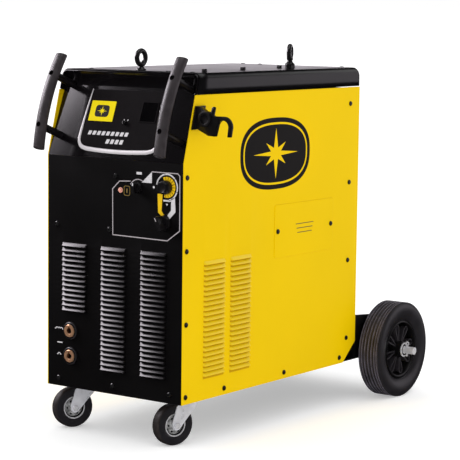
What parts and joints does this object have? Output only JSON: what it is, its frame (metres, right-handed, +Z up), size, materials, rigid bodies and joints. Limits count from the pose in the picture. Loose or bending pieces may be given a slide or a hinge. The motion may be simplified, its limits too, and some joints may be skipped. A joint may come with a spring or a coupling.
{
  "type": "wheeled welding power source",
  "caption": "Upright step-controlled arc welding power source in a louvred sheet-metal casing, with handles, rotary switches, welding sockets, lifting eyes, front castors and rear wheels.",
  "frame": {"origin": "on the floor, under the centre of the bounding box", "axes": "+Z up, front panel facing -Y, +X to the right seen from the front"},
  "size_m": [0.628, 1.0843, 0.9455],
  "materials": {
    "yellow_paint": "powder coat, satin",
    "black_paint": "powder coat, satin",
    "bezel_black": "moulded and coated, gloss",
    "fascia_print": "printed overlay, fine texture",
    "silver_trim": "silver plastic",
    "meter_glass": "dark window",
    "grip_rubber": "grained plastic",
    "knob_plastic": "satin plastic",
    "black_steel": "blacked steel",
    "lamp_lens": "translucent lens",
    "brass": "machined",
    "zinc": "zinc plated",
    "bright_steel": "bright",
    "rubber": "ribbed solid rubber",
    "castor_rubber": "solid rubber",
    "hub_plastic": "moulded",
    "core_steel": "laminated steel",
    "copper": "varnished winding",
    "heat_sink": "extruded",
    "relay_plastic": "moulded"
  },
  "bodies": {
    "casing": {"access_cover": "yellow_paint", "axle_washers": "zinc", "base_tray": "black_paint", "breaker_body": "knob_plastic", "cable_gland": "knob_plastic", "casing_screws": "black_steel", "castor_plates": "zinc", "choke_coil": "copper", "choke_core": "core_steel", "component_shelf": "zinc", "contactor": "relay_plastic", "cylinder_shelf": "black_paint", "display_window": "meter_glass", "eye_nut": "black_steel", "fan_guard": "zinc", "fan_motor": "black_paint", "fascia_panel": "fascia_print", "fascia_trim": "silver_trim", "feeder_socket": "zinc", "front_bezel": "bezel_black", "front_lifting_eye": "black_steel", "front_panel": "black_paint", "handle_posts": "black_paint", "handle_screws": "black_steel", "left_handle_grip": "grip_rubber", "left_side_panel": "yellow_paint", "lid_plugs": "knob_plastic", "pilot_lamp": "lamp_lens", "rear_axle": "bright_steel", "rear_panel": "black_paint", "rectifier_stack": "heat_sink", "right_handle_grip": "grip_rubber", "right_side_panel": "yellow_paint", "side_lifting_eye": "black_steel", "socket_bodies": "knob_plastic", "socket_inserts": "brass", "split_pins": "bright_steel", "switch_bodies": "relay_plastic", "top_cover": "black_paint", "torch_holder": "knob_plastic", "transformer_coils": "copper", "transformer_core": "core_steel"},
    "fan": {"fan_rotor": "hub_plastic"},
    "main_switch": {"main_switch_knob": "knob_plastic"},
    "coarse_selector": {"coarse_selector_knob": "knob_plastic"},
    "range_selector": {"range_selector_knob": "knob_plastic"},
    "meter_selector": {"meter_selector_knob": "knob_plastic"},
    "breaker_reset": {"breaker_button": "relay_plastic"},
    "left_castor_swivel": {"left_castor_fork": "zinc", "left_castor_axle": "bright_steel"},
    "left_castor_wheel": {"left_castor_tyre": "castor_rubber", "left_castor_core": "bright_steel"},
    "left_rear_wheel": {"left_rear_tyre": "rubber", "left_rear_hub": "hub_plastic"},
    "right_castor_swivel": {"right_castor_fork": "zinc", "right_castor_axle": "bright_steel"},
    "right_castor_wheel": {"right_castor_tyre": "castor_rubber", "right_castor_core": "bright_steel"},
    "right_rear_wheel": {"right_rear_tyre": "rubber", "right_rear_hub": "hub_plastic"}
  },
  "joints": [
    {"name": "left_castor_swivel_turn", "type": "hinge", "parent": "casing", "child": "left_castor_swivel", "pos_m": [-0.155, -0.3918, 0.102], "axis": [0, 0, 1], "continuous": true},
    {"name": "left_castor_roll", "type": "hinge", "parent": "left_castor_swivel", "child": "left_castor_wheel", "pos_m": [-0.16953, -0.42031, 0.05], "axis": [0.891, -0.454, 0], "continuous": true},
    {"name": "left_rear_roll", "type": "hinge", "parent": "casing", "child": "left_rear_wheel", "pos_m": [-0.2465, 0.4159, 0.127], "axis": [1, 0, 0], "continuous": true},
    {"name": "right_castor_swivel_turn", "type": "hinge", "parent": "casing", "child": "right_castor_swivel", "pos_m": [0.155, -0.3918, 0.102], "axis": [0, 0, 1], "continuous": true},
    {"name": "right_castor_roll", "type": "hinge", "parent": "right_castor_swivel", "child": "right_castor_wheel", "pos_m": [0.14405, -0.42187, 0.05], "axis": [0.9397, -0.342, 0], "continuous": true},
    {"name": "right_rear_roll", "type": "hinge", "parent": "casing", "child": "right_rear_wheel", "pos_m": [0.2465, 0.4159, 0.127], "axis": [1, 0, 0], "continuous": true},
    {"name": "fan_spin", "type": "hinge", "parent": "casing", "child": "fan", "pos_m": [0, 0.2472, 0.33], "axis": [0, 1, 0], "continuous": true},
    {"name": "main_switch_turn", "type": "hinge", "parent": "casing", "child": "main_switch", "pos_m": [0.0735, -0.4688, 0.6135], "axis": [0, 1, 0], "range_deg": [0, 90]},
    {"name": "coarse_selector_turn", "type": "hinge", "parent": "casing", "child": "coarse_selector", "pos_m": [0.1585, -0.4688, 0.6193], "axis": [0, 1, 0], "range_deg": [-30, 240]},
    {"name": "range_selector_turn", "type": "hinge", "parent": "casing", "child": "range_selector", "pos_m": [0.153, -0.4688, 0.536], "axis": [0, 1, 0], "range_deg": [0, 50]},
    {"name": "meter_selector_turn", "type": "hinge", "parent": "casing", "child": "meter_selector", "pos_m": [0.009, -0.43749, 0.75931], "axis": [0, 0.9361, -0.3518], "range_deg": [-30, 30]},
    {"name": "breaker_reset_travel", "type": "slide", "parent": "casing", "child": "breaker_reset", "axis": [0, 1, 0], "range_m": [0, 0.004]}
  ]
}
